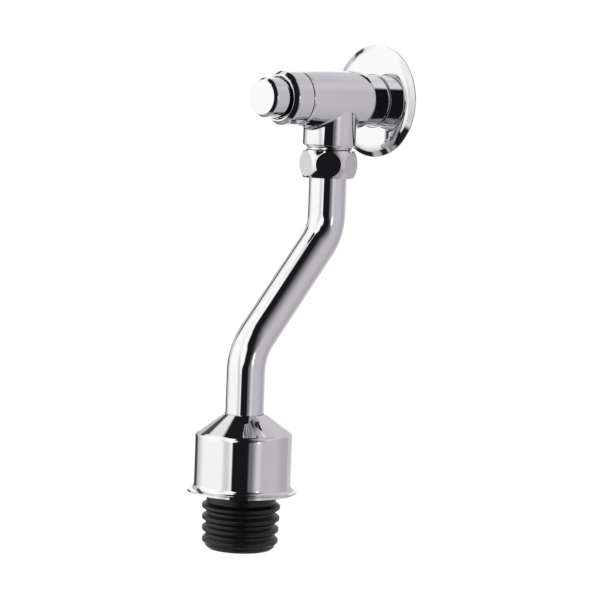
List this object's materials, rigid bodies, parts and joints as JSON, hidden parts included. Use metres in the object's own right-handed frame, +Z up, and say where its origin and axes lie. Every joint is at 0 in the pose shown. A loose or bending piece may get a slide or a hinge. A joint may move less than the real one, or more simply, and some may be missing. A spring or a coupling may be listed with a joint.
{
  "type": "urinal flush valve",
  "caption": "Wall-mounted push-button urinal flush valve with a cranked flush tube, a bell cover and a ribbed rubber plug.",
  "frame": {"origin": "centre of the male wall connection on the wall's plane, on the valve's axis", "axes": "+Y goes into the wall along the connection, the valve stands out along -Y, +Z is up and the flush tube hangs down"},
  "size_m": [0.0572, 0.1245, 0.2513],
  "materials": {
    "chrome_plate": "mirror-polished chrome plate",
    "raw_brass": "turned",
    "stainless": "drawn and turned",
    "acetal": "moulded, matte",
    "black_rubber": "moulded, satin",
    "seal_rubber": "moulded, matte"
  },
  "bodies": {
    "valve": {"valve_body": "chrome_plate", "inlet_strainer": "stainless", "cartridge_sleeve": "acetal", "sleeve_o_ring_rear": "seal_rubber", "sleeve_o_ring_front": "seal_rubber", "seat_ring": "raw_brass", "gland_cap": "raw_brass", "gland_o_ring": "seal_rubber", "stem_seal": "seal_rubber", "bonnet": "chrome_plate"},
    "plunger": {"button_cap": "chrome_plate", "button_core": "acetal", "stem": "stainless", "piston": "acetal", "piston_lip_seal": "seal_rubber", "piston_clip": "stainless", "washer_cup": "raw_brass", "seat_washer": "seal_rubber", "stem_nut": "raw_brass", "return_spring": "stainless"},
    "flange": {"wall_flange": "chrome_plate"},
    "nut": {"coupling_nut": "chrome_plate"},
    "tube": {"flush_tube": "chrome_plate", "tube_collar": "raw_brass", "tube_gasket": "seal_rubber", "rubber_plug": "black_rubber"},
    "cover": {"bell_cover": "chrome_plate"}
  },
  "joints": [
    {"name": "button_press", "type": "slide", "parent": "valve", "child": "plunger", "axis": [0, 1, 0], "range_m": [0, 0.0065], "stiffness_N_per_m": 1500, "springref_m": -0.01, "deforming": ["return_spring"]},
    {"name": "flange_slide", "type": "slide", "parent": "valve", "child": "flange", "axis": [0, -1, 0], "range_m": [0, 0.0105]},
    {"name": "nut_turn", "type": "hinge", "parent": "valve", "child": "nut", "pos_m": [0, -0.032, -0.0324], "axis": [0, 0, 1], "continuous": true},
    {"name": "tube_swivel", "type": "hinge", "parent": "valve", "child": "tube", "pos_m": [0, -0.032, -0.0345], "axis": [0, 0, 1], "range_deg": [-90, 90]},
    {"name": "cover_lift", "type": "slide", "parent": "tube", "child": "cover", "axis": [0, 0, 1], "range_m": [0, 0.02]}
  ]
}
